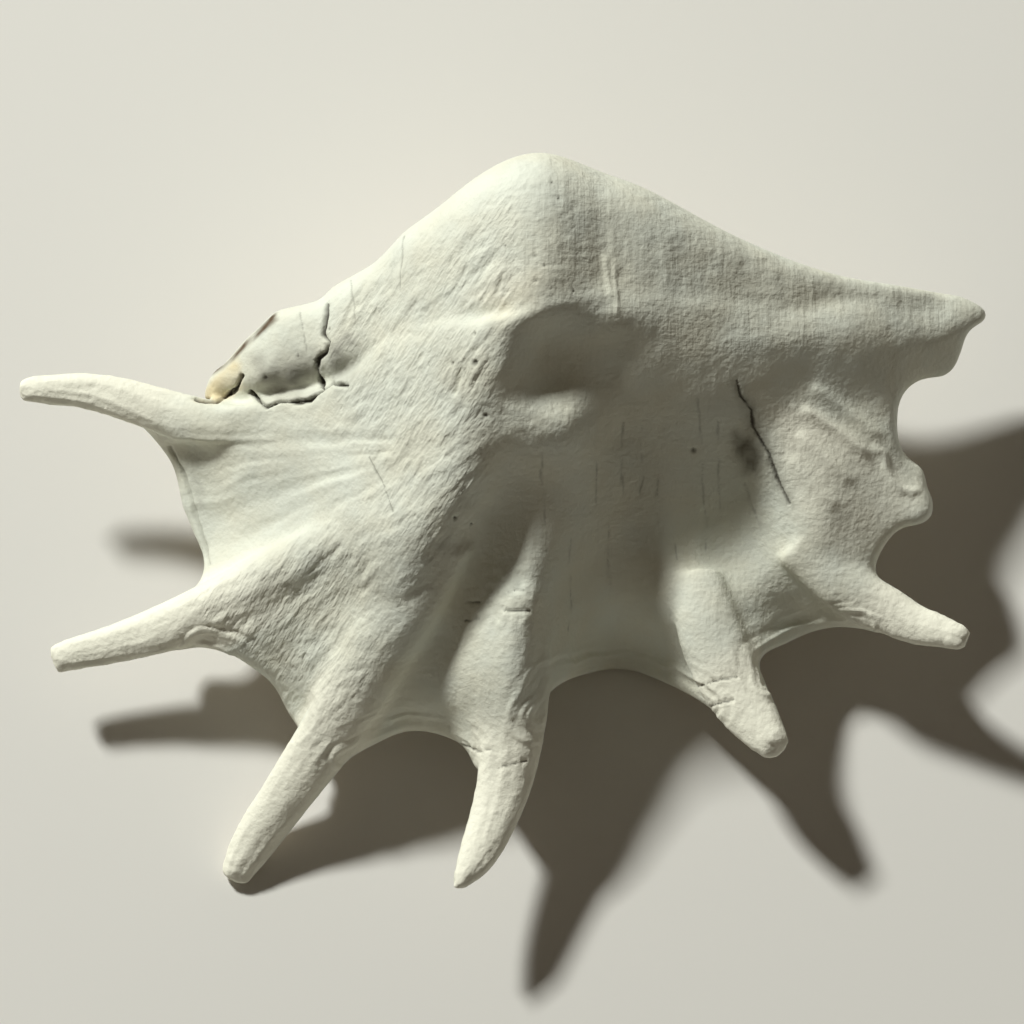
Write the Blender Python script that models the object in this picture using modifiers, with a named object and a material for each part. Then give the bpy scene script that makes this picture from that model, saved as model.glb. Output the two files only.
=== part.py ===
"""Spider conch shell, lying mouth down.

A heavy body whorl with a short stepped spire, a broad flared lip that carries six finger
spines, and an open siphonal canal. The whole shell is one piece.

The tables below are in the shell's own plan: X runs from the spire to the canal, Y from the lip
to the back of the body whorl, and Z up from that plan. The finished shell is tipped about X until
it rests on its belly on Z = 0. Sizes are in millimetres; the model itself is in metres.
"""

import math

import bmesh
import bpy
import numpy as np

MM = 0.001

# Driving dimensions
ROOF = 9.4
LIP_THICKNESS = 7.0
STEEPEST = 2.2
SPINE_FLATNESS = 0.65
TILT = 16.0
BELLY_FLAT = 2.5

# Fineness of the model
VOXEL = 1.7
TRIANGLES = 9000
TURN_STEPS = 56
HOLLOW_STEPS = 24
CORE_STEPS = 12
PLATE_SOFTNESS = 8.0
MELT_SMOOTHING = 6
SKIN_SMOOTHING = 3
FLOOR_SIDE = 400.0

# The axis that the shell coils about, from the tip of the spire to the end of the canal:
# distance along X, then where the axis stands in Y and Z.
SHELL_AXIS = [
    (-95, 37, 41), (-60, 41, 47), (-20, 46, 55), (12, 49, 59.5), (30, 51.3, 55.5), (60, 55, 55.5),
    (92, 58, 52), (124, 61, 38), (150, 64, 24),
]

# Radius of the coiled body along X: the stepped spire, the shoulder and the long taper.
BODY_PROFILE = [
    (-93, 0.6), (-91, 6), (-86, 10.5), (-80, 17), (-77, 19), (-71, 24.5), (-62, 25.5), (-57, 26),
    (-53, 30), (-48, 32), (-40, 35.5), (-36, 39), (-31, 44), (-19, 51), (-10, 58), (0, 63),
    (7, 64.8), (13, 64.5), (19, 62), (30, 55.5), (42, 50.5), (53, 43), (69, 32.5), (89, 22),
    (105, 15.5), (124, 11), (136, 7.5), (146, 3), (149, 0.5),
]

# How much of that radius the body keeps round its section. Degrees from the back of the
# shell (+Y) over the top: full at the back and belly, squarer over the top, drawn in below the lip.
BODY_SECTION = [
    (-120, 0.93), (-90, 0.99), (-60, 1.0), (0, 1.0), (12, 1.02), (20, 1.06), (30, 1.14),
    (38, 1.175), (44, 1.145), (50, 1.07), (56, 1.0), (66, 0.92), (73, 0.87), (80, 0.72),
    (90, 0.58), (110, 0.50), (150, 0.45), (180, 0.50), (210, 0.66), (240, 0.93),
]

# Heights of the back of the shell over its plan, (x, y, z): crest, knobs, ribs and the webs
# between them, out to the edge of the lip.
BACK_HEIGHTS = [
    # crest and knobs of the body whorl
    (-32, 58, 89), (-23, 46, 98), (-14, 68, 103), (-14, 43, 104), (-1, 58, 113), (0, 46, 110),
    (13, 75, 113), (13, 66, 113), (13, 54, 101), (13, 41, 96), (-5, 33, 104), (8, 33, 101),
    (19, 30, 98), (10, 22, 98), (20, 22, 95), (8, 12, 89), (8, 1, 84), (30, 68, 103.5), (30, 85, 100.5),
    (36, 49, 96), (36, 27, 80.5), (36, 6, 72), (36, -8, 65), (-1, 80, 109), (-30, 72, 88.5),
    # the great rib towards the lower left spine, sharp on its right side
    (-7, 21, 101), (-8, 12, 98), (-12, 3, 95), (-16, -4, 92), (-20, -11, 89), (-24, -19, 86),
    (-29, -25, 83), (-40, -44, 72), (-51, -62, 62), (-60, -80, 55), (0, 12, 90), (-5, 2, 85),
    (-9, -10, 80), (-15, -22, 76), (-22, -36, 71), (-30, -50, 64),
    # web between the left and lower left spines
    (-48, -25, 71), (-54, -38, 65), (-62, -53, 56), (-66, -61, 48),
    # shoulder slope and the rib towards the left spine
    (-32, 31, 90), (-32, 12, 90), (-48, 31, 77), (-49, 12, 77), (-51, -5, 77), (-69, -18, 64),
    (-88, -26, 57), (-100, -31, 50),
    # web between the two spines at the spire
    (-63, 24, 66), (-63, 6, 63), (-79, 15, 56), (-80, -7, 52), (-97, 12, 42), (-94, -10, 42),
    (-73, 31, 60), (-85, 31, 57), (-100, 32, 50), (-110, 34, 46),
    # broad rib to the lower middle spine, its crest on the right side
    (4, -14, 80), (-6, -26, 76), (-15, -38, 71), (-22, -56, 62), (-23, -66, 50), (9, -13, 82),
    (9, -25, 81), (9, -38, 78), (9, -50, 76), (8, -62, 74), (4, -75, 71), (19, -20, 68),
    (19, -38, 59),
    # web, then the rib to the lower right spine
    (30, -13, 64), (30, -31, 48), (31, -45, 30), (45, -44, 32), (46, -31, 54), (46, -10, 64),
    (58, 6, 63.5), (58, -10, 58), (68, -12, 54), (60, -23, 65), (66, -36, 69), (73, -33, 62),
    (77, -48, 64),
    # web and rib at the spine beside the canal
    (80, -16, 56), (87, -28, 50), (93, -35, 44), (77, 8, 60), (81, -4, 57), (85, 14, 67), (94, 4, 67),
    (96, -7, 66), (107, -20, 63), (118, -28, 58),
    # right flank of the whorl, the notch and the canal
    (61, 75, 86.5), (61, 58, 88.5), (61, 37, 82.5), (61, 21, 71.5), (77, 28, 71.5), (79, 55, 79.5),
    (92, 72, 63), (92, 60, 72), (92, 43, 69), (92, 24, 68), (107, 60, 64), (107, 37, 60),
    (107, 15, 63), (107, -4, 62), (120, 24, 54), (122, 35, 49), (120, -7, 56), (131, 6, 52),
    (127, 17, 49), (123, 55, 52), (123, 68, 46), (137, 57, 42), (135, 45, 36), (141, 54, 36),
    (149, 64, 34), (113, -16, 58), (135, 68, 38),
]

# Edge of the lip seen from above, without the spines, closed through the inside of the body.
LIP_OUTLINE = [
    (-49, 44), (-76, 36), (-94, 35), (-110, 37), (-114, 33), (-108, 24), (-103, 17), (-100, 6),
    (-96, -5), (-93, -13), (-94, -19), (-99, -24), (-107, -29), (-105, -40), (-94, -40),
    (-85, -42), (-77, -47), (-72, -51), (-67, -60), (-63, -67), (-64, -74), (-60, -79), (-55, -79),
    (-49, -75), (-40, -70), (-30, -66), (-20, -67), (-12, -71), (-8, -78), (6, -80),
    (10, -72), (10, -61), (15, -53), (27, -48), (38, -47), (50, -51), (63, -58), (72, -65),
    (83, -61), (81, -51), (79, -44), (87, -39), (100, -34), (110, -34), (120, -35), (123, -24),
    (115, -17), (117, -10), (123, -3), (128, -2), (132, 0), (133, 5), (131, 10), (130, 15),
    (124, 20), (122, 32), (124, 39), (129, 43), (138, 45), (142, 52), (144, 58), (150, 63),
    (146, 67), (135, 70), (117, 68), (92, 67), (61, 68), (30, 71), (-1, 62), (-32, 58),
]

# Spines from tip to root, (x, y, z, radius). Each root runs on as a rib in the lip.
SPINES = {
    "spire_side": [
        (-150.5, 40, 46, 3.6), (-145, 40, 46, 4.8), (-138, 40, 46, 5.3), (-127, 39.5, 46.5, 6.0),
        (-116, 36.5, 47, 6.8), (-105, 33, 48, 7.4), (-94, 30, 50, 7.6), (-79, 27, 53, 7),
        (-66, 25, 57, 5),
    ],
    "left": [
        (-140, -44, 45, 4.8), (-134, -42, 45, 5.4), (-125, -40, 45.5, 6.0), (-116, -37.5, 46.5, 6.8),
        (-105, -34, 48.5, 7.8), (-93, -29, 52, 8.5), (-76, -21, 58, 9), (-54, -8, 68, 8),
        (-32, 6, 81, 6),
    ],
    "lower_left": [
        (-84, -112, 43, 4.6), (-81, -106, 44, 6.4), (-76, -98, 45.5, 7.4), (-69, -88, 48.5, 8.0),
        (-62, -78, 52, 8.8), (-52, -64, 57.5, 10), (-42, -45, 65, 11), (-29, -25, 75, 11),
        (-18, -4, 83.5, 10),
    ],
    "lower_middle": [
        (-15, -114.5, 76, 1.8), (-11, -109, 73.5, 5.0), (-7, -102, 70, 6.8), (-3, -92, 66.5, 7.8),
        (0, -83, 64.5, 8.8), (2, -72, 64.5, 9.8), (4, -56, 66, 10.5), (5, -38, 69, 10),
        (6, -19, 74, 8),
    ],
    "lower_right": [
        (84.5, -71.5, 70, 4.8), (81, -67, 67.5, 6.8), (76, -60, 64.5, 8.8), (71, -53, 62.5, 9.6),
        (66, -42, 62, 10.5), (62, -30, 62, 10), (59, -18, 59, 8),
    ],
    "canal_side": [
        (143, -37.5, 65, 3.8), (136, -35, 62.5, 5.4), (127, -33, 59.5, 6.5), (120, -29, 58, 7.5),
        (111, -25, 57.5, 8.4), (101, -18, 59, 8.5), (90, -7, 60, 8),
    ],
}

# The lip is thicker on its underside, from the slit of the mouth outwards: the level of that
# underside at y = 0, the most it adds, and where the slit runs as (x, y).
LIP_UNDERSIDE = 36.0
LIP_EXTRA = 15.0
SLIT = [(-60, -6), (-40, -8), (12, -7), (60, 20), (88, 37), (106, 45), (150, 52)]
SLIT_EDGE = 7.0

# The hollow inside the body whorl, (x, outer radius kept inside the wall, core radius), the
# stretch of turn that it fills in degrees, and the slit below it as shares of its radius.
HOLLOW = [
    (-38, 16, 8), (-31, 32, 11), (-20, 43, 13), (-8, 51, 15), (12, 57, 16), (34, 46, 14),
    (60, 31, 11), (88, 17, 8), (106, 9, 5),
]
HOLLOW_FROM = -60.0
HOLLOW_TO = 184.0
CORE_TO = 208.0
SLIT_SECTION = [(-1.04, -0.78), (-0.60, -0.88)]

# The groove under the canal, (x, y, z, radius).
CANAL_GROOVE = [
    (70, 30, 34, 11), (90, 42, 30, 11), (108, 50, 22, 10), (124, 53, 12, 9), (140, 55, 3, 8),
    (160, 58, -6, 8),
]


def new_collection(name):
    """A collection of the scene with this name."""
    collection = bpy.data.collections.new(name)
    bpy.context.scene.collection.children.link(collection)
    return collection


def add_object(name, data, collection):
    """An object that shows this data."""
    obj = bpy.data.objects.new(name, data)
    collection.objects.link(obj)
    return obj


def as_mesh(obj):
    """Turns an object into a plain mesh of what its modifiers and bevels make."""
    depsgraph = bpy.context.evaluated_depsgraph_get()
    mesh = bpy.data.meshes.new_from_object(obj.evaluated_get(depsgraph), depsgraph=depsgraph)
    bm = bmesh.new()
    bm.from_mesh(mesh)
    bm.transform(obj.matrix_world)
    bmesh.ops.remove_doubles(bm, verts=bm.verts, dist=1e-6)
    bm.to_mesh(mesh)
    bm.free()
    collection = obj.users_collection[0]
    name = obj.name
    bpy.data.objects.remove(obj)
    return add_object(name, mesh, collection)


def along(table, x):
    """Values of a table at x, read on straight lines between its rows."""
    columns = np.array(table, dtype=float)
    return [np.interp(x, columns[:, 0], columns[:, i]) for i in range(1, columns.shape[1])]


def thin_plate(distance):
    """The bending of a thin plate at a distance from a point that holds it."""
    return np.where(distance > 0, distance ** 2 * np.log(np.maximum(distance, 1e-9)), 0.0)


class Back:
    """The height of the back of the shell, a thin plate bent through BACK_HEIGHTS."""

    def __init__(self, points):
        points = np.array(points, dtype=float)
        self.centres = points[:, :2]
        count = len(points)
        gaps = np.linalg.norm(self.centres[:, None] - self.centres[None], axis=2)
        plane = np.hstack([np.ones((count, 1)), self.centres])
        system = np.zeros((count + 3, count + 3))
        system[:count, :count] = thin_plate(gaps) + PLATE_SOFTNESS * np.eye(count)
        system[:count, count:] = plane
        system[count:, :count] = plane.T
        answer = np.linalg.solve(system, np.append(points[:, 2], np.zeros(3)))
        self.bends = answer[:count]
        self.plane = answer[count:]

    def height(self, xy):
        """Heights at an array of (x, y), all in millimetres."""
        gaps = np.linalg.norm(xy[:, None] - self.centres[None], axis=2)
        return thin_plate(gaps) @ self.bends + self.plane[0] + xy @ self.plane[1:]

    def steepness(self, xy, step=0.5):
        """How much longer the way through a plate is straight down than square to it."""
        side = np.array([step, 0.0])
        ahead = np.array([0.0, step])
        slope_x = (self.height(xy + side) - self.height(xy - side)) / (2 * step)
        slope_y = (self.height(xy + ahead) - self.height(xy - ahead)) / (2 * step)
        return np.minimum(np.sqrt(1 + slope_x ** 2 + slope_y ** 2), STEEPEST)


BACK = Back(BACK_HEIGHTS)


def read_points(mesh):
    """A mesh's points in millimetres."""
    points = np.empty(len(mesh.vertices) * 3)
    mesh.vertices.foreach_get("co", points)
    return points.reshape(-1, 3) / MM


def write_points(mesh, points):
    """Moves a mesh's points to these places, in millimetres."""
    mesh.vertices.foreach_set("co", (points * MM).ravel())
    mesh.update()


def make_body(collection):
    """The coiled body: a turned profile, drawn in below the lip and set on the shell's axis."""
    mesh = bpy.data.meshes.new("body")
    rows = [(radius * MM, 0.0, -x * MM) for x, radius in BODY_PROFILE]
    rows = [(0.0, 0.0, rows[0][2])] + rows + [(0.0, 0.0, rows[-1][2])]
    mesh.from_pydata(rows, [(i, i + 1) for i in range(len(rows) - 1)], [])
    body = add_object("body", mesh, collection)
    screw = body.modifiers.new("turn", "SCREW")
    screw.steps = TURN_STEPS
    screw.render_steps = TURN_STEPS
    screw.use_merge_vertices = True
    screw.merge_threshold = 0.0001
    body = as_mesh(body)
    points = read_points(body.data)
    x = -points[:, 2]
    radius = np.hypot(points[:, 0], points[:, 1])
    angle = np.degrees(np.arctan2(points[:, 1], points[:, 0]))
    angle = np.where(angle < -120, angle + 360, angle)
    radius = radius * along(BODY_SECTION, angle)[0]
    axis_y, axis_z = along(SHELL_AXIS, x)
    turned = np.radians(angle)
    write_points(body.data, np.column_stack([
        x, axis_y + radius * np.cos(turned), axis_z + radius * np.sin(turned)]))
    return body


def make_lip(collection):
    """The flared lip: its outline as a flat plate, bent onto the back of the shell."""
    curve = bpy.data.curves.new("lip", "CURVE")
    curve.dimensions = "2D"
    curve.fill_mode = "BOTH"
    curve.extrude = LIP_THICKNESS / 2 * MM
    curve.resolution_u = 4
    spline = curve.splines.new("BEZIER")
    spline.bezier_points.add(len(LIP_OUTLINE) - 1)
    for point, (x, y) in zip(spline.bezier_points, LIP_OUTLINE):
        point.co = (x * MM, y * MM, 0.0)
        point.handle_left_type = "AUTO"
        point.handle_right_type = "AUTO"
    spline.use_cyclic_u = True
    lip = as_mesh(add_object("lip", curve, collection))
    add_remesh(lip, VOXEL)
    lip = as_mesh(lip)
    points = read_points(lip.data)
    x, y = points[:, 0], points[:, 1]
    height = BACK.height(points[:, :2])
    steepness = BACK.steepness(points[:, :2])
    depth = LIP_THICKNESS / 2 - points[:, 2]
    underside = LIP_UNDERSIDE - y * math.tan(math.radians(TILT))
    room = height - LIP_THICKNESS * steepness - underside
    beyond_slit = np.clip((along(SLIT, x)[0] - y) / SLIT_EDGE, 0, 1)
    extra = np.clip(room, 0, LIP_EXTRA) * beyond_slit
    points[:, 2] = height - depth * (steepness + extra / LIP_THICKNESS)
    write_points(lip.data, points)
    return lip


def make_tube(name, points, flatness, collection):
    """A tapered tube with round ends through (x, y, z, radius), its height pressed flatter."""
    curve = bpy.data.curves.new(name, "CURVE")
    curve.dimensions = "3D"
    curve.bevel_depth = MM
    curve.bevel_resolution = 5
    curve.use_fill_caps = True
    curve.resolution_u = 6
    spline = curve.splines.new("NURBS")
    spline.points.add(len(points) - 1)
    for point, (x, y, z, radius) in zip(spline.points, points):
        point.co = (x * MM, y * MM, z / flatness * MM, 1.0)
        point.radius = radius
    spline.order_u = 3
    spline.use_endpoint_u = True
    tube = add_object(name, curve, collection)
    tube.scale = (1.0, 1.0, flatness)
    bpy.context.view_layer.update()
    return as_mesh(tube)


def make_hollow(collection):
    """The space inside the body whorl: a crescent round the core that opens under the lip."""
    arc = np.radians(np.linspace(HOLLOW_FROM, HOLLOW_TO, HOLLOW_STEPS))
    core_arc = np.radians(np.linspace(CORE_TO, HOLLOW_FROM, CORE_STEPS))
    bm = bmesh.new()
    rings = []
    for x, outer, core in HOLLOW:
        axis_y, axis_z = [float(value) for value in along(SHELL_AXIS, x)]
        section = [(outer * math.cos(a), outer * math.sin(a)) for a in arc]
        section += [(outer * across, outer * up) for across, up in SLIT_SECTION]
        section += [(core * math.cos(a), core * math.sin(a)) for a in core_arc]
        ring = np.array([(x, axis_y + across, axis_z + up) for across, up in section])
        ring[:, 2] = np.minimum(ring[:, 2], BACK.height(ring[:, :2]) - ROOF)
        rings.append(ring)
    loops = [[bm.verts.new(point * MM) for point in ring] for ring in rings]
    for first, second in zip(loops, loops[1:]):
        for i in range(len(first)):
            j = (i + 1) % len(first)
            bm.faces.new((first[i], first[j], second[j], second[i]))
    bm.faces.new(loops[0][::-1])
    bm.faces.new(loops[-1])
    bmesh.ops.recalc_face_normals(bm, faces=bm.faces)
    mesh = bpy.data.meshes.new("hollow")
    bm.to_mesh(mesh)
    bm.free()
    return add_object("hollow", mesh, collection)


def make_floor(collection):
    """A block under Z = 0 that flattens what the shell rests on."""
    bpy.ops.mesh.primitive_cube_add(size=FLOOR_SIDE * MM, location=(0, 0, -FLOOR_SIDE / 2 * MM))
    floor = bpy.context.object
    floor.name = "floor"
    floor.users_collection[0].objects.unlink(floor)
    collection.objects.link(floor)
    bpy.context.view_layer.update()
    return floor


def join(name, pieces, collection):
    """One object that holds the meshes of all the pieces."""
    bm = bmesh.new()
    for piece in pieces:
        bm.from_mesh(piece.data)
    mesh = bpy.data.meshes.new(name)
    bm.to_mesh(mesh)
    bm.free()
    for piece in pieces:
        bpy.data.objects.remove(piece)
    return add_object(name, mesh, collection)


def add_remesh(obj, size):
    """Melts everything in the object into one even skin."""
    remesh = obj.modifiers.new("melt", "REMESH")
    remesh.mode = "VOXEL"
    remesh.voxel_size = size * MM


def add_cut(obj, cutter):
    """Takes a cutter's shape out of the object."""
    cutter.hide_render = True
    cutter.display_type = "WIRE"
    cut = obj.modifiers.new(cutter.name, "BOOLEAN")
    cut.operation = "DIFFERENCE"
    cut.solver = "EXACT"
    cut.object = cutter


def add_smooth(obj, repeats):
    """Rounds edges and runs the joints between the forms together."""
    smooth = obj.modifiers.new("soften", "SMOOTH")
    smooth.factor = 0.5
    smooth.iterations = repeats


def keep_largest(obj):
    """Drops any crumb that the cuts left beside the shell."""
    bm = bmesh.new()
    bm.from_mesh(obj.data)
    bm.verts.ensure_lookup_table()
    unseen = set(bm.verts)
    islands = []
    while unseen:
        front = [unseen.pop()]
        island = list(front)
        while front:
            vert = front.pop()
            for edge in vert.link_edges:
                other = edge.other_vert(vert)
                if other in unseen:
                    unseen.remove(other)
                    island.append(other)
                    front.append(other)
        islands.append(island)
    islands.sort(key=len)
    for island in islands[:-1]:
        bmesh.ops.delete(bm, geom=island, context="VERTS")
    bm.to_mesh(obj.data)
    bm.free()


def tip_onto_belly(mesh):
    """Tips the shell about X and lowers its belly into Z = 0 by the depth of its flat."""
    turn = math.radians(TILT)
    x, y, z = read_points(mesh).T
    tipped = np.column_stack([
        x, y * math.cos(turn) - z * math.sin(turn), y * math.sin(turn) + z * math.cos(turn)])
    tipped[:, 2] -= tipped[:, 2].min() + BELLY_FLAT
    write_points(mesh, tipped)


def centre_on_origin(mesh):
    """Puts the middle of the shell's box over the origin."""
    points = read_points(mesh)
    points[:, :2] -= (points[:, :2].min(axis=0) + points[:, :2].max(axis=0)) / 2
    write_points(mesh, points)


def shell_material():
    """Chalky, sun-bleached shell."""
    material = bpy.data.materials.new("bleached_shell")
    material.use_nodes = True
    shader = material.node_tree.nodes["Principled BSDF"]
    shader.inputs["Base Color"].default_value = (0.80, 0.77, 0.67, 1.0)
    shader.inputs["Roughness"].default_value = 0.72
    shader.inputs["Metallic"].default_value = 0.0
    return material


def main():
    """Melts the forms together, hollows the shell and stands it on its belly."""
    for obj in list(bpy.data.objects):
        bpy.data.objects.remove(obj)
    parts = new_collection("spider_conch")
    cutters = new_collection("cutters")

    forms = [make_body(parts), make_lip(parts)]
    forms += [make_tube(name, points, SPINE_FLATNESS, parts) for name, points in SPINES.items()]
    shell = join("forms", forms, parts)
    add_remesh(shell, VOXEL)
    add_smooth(shell, MELT_SMOOTHING)
    add_cut(shell, make_hollow(cutters))
    add_cut(shell, make_tube("canal_groove", CANAL_GROOVE, 1.0, cutters))
    add_remesh(shell, VOXEL)
    add_smooth(shell, SKIN_SMOOTHING)
    shell = as_mesh(shell)
    keep_largest(shell)
    tip_onto_belly(shell.data)

    decimate = shell.modifiers.new("fewer_faces", "DECIMATE")
    decimate.ratio = TRIANGLES / (2 * len(shell.data.polygons))
    add_cut(shell, make_floor(cutters))
    shell = as_mesh(shell)
    keep_largest(shell)
    shell.name = "shell"
    centre_on_origin(shell.data)
    shell.data.materials.clear()
    shell.data.materials.append(shell_material())
    shell.data.shade_smooth()


main()
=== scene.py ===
"""Spider conch shell, bleached by the sun and lying mouth down on a pale floor.

The looks of the shell: its coiled body with the short broken spire, the flared lip with six
finger spines, the open canal, and the growth lines, furrows, pits, cracks and stains of its skin.

Sizes are in millimetres in the shell's own plan: X from spire to canal, Y from lip to back and Z
up from the plan. A Pose tips the finished shell onto its belly.
"""

import logging
import math
from dataclasses import dataclass, field
from enum import Enum

import bmesh
import bpy
import numpy as np
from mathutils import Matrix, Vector


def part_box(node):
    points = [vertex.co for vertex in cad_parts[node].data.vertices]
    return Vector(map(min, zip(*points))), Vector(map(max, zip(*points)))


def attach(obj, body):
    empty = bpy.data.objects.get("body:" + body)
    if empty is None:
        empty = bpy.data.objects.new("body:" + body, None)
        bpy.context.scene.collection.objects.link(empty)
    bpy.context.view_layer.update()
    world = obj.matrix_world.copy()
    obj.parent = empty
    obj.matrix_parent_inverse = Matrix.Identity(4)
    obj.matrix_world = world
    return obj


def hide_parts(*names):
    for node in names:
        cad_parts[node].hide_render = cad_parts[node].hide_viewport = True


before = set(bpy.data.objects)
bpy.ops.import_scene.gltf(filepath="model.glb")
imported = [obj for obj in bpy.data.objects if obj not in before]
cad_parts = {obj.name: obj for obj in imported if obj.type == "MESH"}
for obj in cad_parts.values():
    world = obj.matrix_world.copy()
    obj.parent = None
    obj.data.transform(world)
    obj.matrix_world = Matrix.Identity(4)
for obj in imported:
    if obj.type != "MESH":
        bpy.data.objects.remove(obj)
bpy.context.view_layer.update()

LOG = logging.getLogger("spider_conch")

MM = 0.001
FORM_VOXEL = 1.3
SKIN_VOXEL = 0.64
SKIN_TRIANGLES = 192000

Point = tuple[float, ...]
Table = list[Point]
Array = np.ndarray
Mesh = bpy.types.Mesh
Object = bpy.types.Object
Socket = bpy.types.NodeSocket
Tree = bpy.types.NodeTree


class Mark(Enum):
    """A colouring of the skin, kept as one number at each of its points."""

    DIRT = "dirt"
    GREY = "grey"
    CREAM = "cream"
    BROWN = "brown"
    GLAZE = "glaze"
    GROOVE = "groove"
    SLOPE = "slope"
    WEAVE = "weave"
    # painted highlight: whiter paint where light falls on the spines, the knob top and two strips
    PAINTED_HIGHLIGHT = "painted_highlight"


def along(table: Table, x: Array) -> list[Array]:
    """Reads a table on straight lines between its rows.

    Args:
        table: Rows that start with their place and go on with their values.
        x: Places to read the values at.

    Returns:
        One array for each column of values.
    """
    columns = np.array(table, dtype=float)
    return [np.interp(x, columns[:, 0], columns[:, i]) for i in range(1, columns.shape[1])]


def softened(table: Table, step: float, spread: float) -> Table:
    """Rounds the corners of a table.

    Args:
        table: Rows that start with their place and go on with their values.
        step: Distance between the rows of the answer.
        spread: How far a corner is spread out.

    Returns:
        Rows at even steps.
    """
    places = np.arange(table[0][0], table[-1][0] + step / 2, step)
    reach = math.ceil(3 * spread / step)
    weights = np.exp(-(np.arange(-reach, reach + 1) * step / spread) ** 2 / 2)
    columns = [places]
    for values in along(table, places):
        padded = np.pad(values, reach, mode="edge")
        columns.append(np.convolve(padded, weights / weights.sum(), "valid"))
    return list(zip(*columns))


def ramp(values: Array, start: float, end: float) -> Array:
    """A smooth step from 0 at start to 1 at end.

    Args:
        values: Where to read it.
        start: Value that gives 0.
        end: Value that gives 1; it may be the smaller one.

    Returns:
        The step at each value.
    """
    share = np.clip((values - start) / (end - start), 0.0, 1.0)
    return share * share * (3.0 - 2.0 * share)


def scatter(cells: Array, seed: int) -> Array:
    """A repeatable random number from -1 to 1 for each whole-number cell.

    Args:
        cells: Whole numbers, three to a cell.
        seed: Picks one pattern among many.

    Returns:
        One number for each cell.
    """
    low_bits = 0xFFFFFFFF
    mixed = cells[:, 0] * 73856093 ^ cells[:, 1] * 19349663 ^ cells[:, 2] * 83492791
    mixed = (mixed ^ seed * 40503) & low_bits
    mixed = ((mixed ^ (mixed >> 15)) * 2246822519) & low_bits
    mixed = ((mixed ^ (mixed >> 13)) * 3266489917) & low_bits
    return (mixed ^ (mixed >> 16)) / (low_bits / 2) - 1.0


def noise(points: Array, seed: int, octaves: int = 1) -> Array:
    """Smooth random bumps about one unit across.

    Args:
        points: Places, three numbers each, already divided by the size of a bump.
        seed: Picks one pattern among many.
        octaves: How many layers, each half as large and half as strong as the one before.

    Returns:
        Values from about -1 to 1.
    """
    total = np.zeros(len(points))
    reach = 0.0
    for octave in range(octaves):
        scaled = points * 2.0 ** octave
        whole = np.floor(scaled).astype(np.int64)
        part = scaled - whole
        part = part * part * (3.0 - 2.0 * part)
        layer = np.zeros(len(points))
        for corner in range(8):
            offset = np.array([corner & 1, corner >> 1 & 1, corner >> 2 & 1])
            weight = np.prod(np.where(offset == 1, part, 1.0 - part), axis=1)
            layer += weight * scatter(whole + offset, seed + 17 * octave)
        total += layer * 0.5 ** octave
        reach += 0.5 ** octave
    return total / reach


def nearest_on(line: Table, points: Array) -> tuple[Array, Array, Array]:
    """Finds the nearest place on a line of straight runs, in the plan or in space.

    Args:
        line: The line's points, of which only as many numbers count as a place has.
        points: Places to measure from, two or three numbers each.

    Returns:
        The distances, how far along the line the nearest places are, and those places.
    """
    best = np.full(len(points), np.inf)
    place = np.zeros(len(points))
    nearest = np.zeros_like(points)
    walked = 0.0
    corners = [np.array(corner[:points.shape[1]], dtype=float) for corner in line]
    for start, end in zip(corners, corners[1:]):
        run = end - start
        length = float(np.linalg.norm(run))
        share = np.clip((points - start) @ run / length ** 2, 0.0, 1.0)
        there = start + share[:, None] * run
        gap = np.linalg.norm(points - there, axis=1)
        nearer = gap < best
        best = np.where(nearer, gap, best)
        place = np.where(nearer, walked + share * length, place)
        nearest = np.where(nearer[:, None], there, nearest)
        walked += length
    return best, place, nearest


def add_object(name: str, data: bpy.types.ID) -> Object:
    """Links a new object that shows this data to the scene.

    Args:
        name: What it is called.
        data: Its mesh, curve, lamp or camera.

    Returns:
        The object.
    """
    obj = bpy.data.objects.new(name, data)
    bpy.context.scene.collection.objects.link(obj)
    return obj


def baked(obj: Object) -> Object:
    """Turns an object into a plain mesh of what its modifiers and bevels make.

    Args:
        obj: The object, which is removed.

    Returns:
        A new object of the same name.
    """
    depsgraph = bpy.context.evaluated_depsgraph_get()
    mesh = bpy.data.meshes.new_from_object(obj.evaluated_get(depsgraph), depsgraph=depsgraph)
    bm = bmesh.new()
    bm.from_mesh(mesh)
    bmesh.ops.remove_doubles(bm, verts=bm.verts, dist=1e-6)
    bm.to_mesh(mesh)
    bm.free()
    name = obj.name
    bpy.data.objects.remove(obj)
    return add_object(name, mesh)


def read_points(mesh: Mesh) -> Array:
    """A mesh's points in millimetres.

    Args:
        mesh: The mesh.

    Returns:
        Three numbers for each point.
    """
    points = np.empty(len(mesh.vertices) * 3)
    mesh.vertices.foreach_get("co", points)
    return points.reshape(-1, 3) / MM


def write_points(mesh: Mesh, points: Array) -> None:
    """Moves a mesh's points to these places, in millimetres."""
    mesh.vertices.foreach_set("co", (points * MM).ravel())
    mesh.update()


def read_normals(mesh: Mesh) -> Array:
    """The direction that the skin faces at each of a mesh's points.

    Args:
        mesh: The mesh.

    Returns:
        Three numbers for each point.
    """
    normals = np.empty(len(mesh.vertices) * 3)
    mesh.vertices.foreach_get("normal", normals)
    return normals.reshape(-1, 3)


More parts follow.
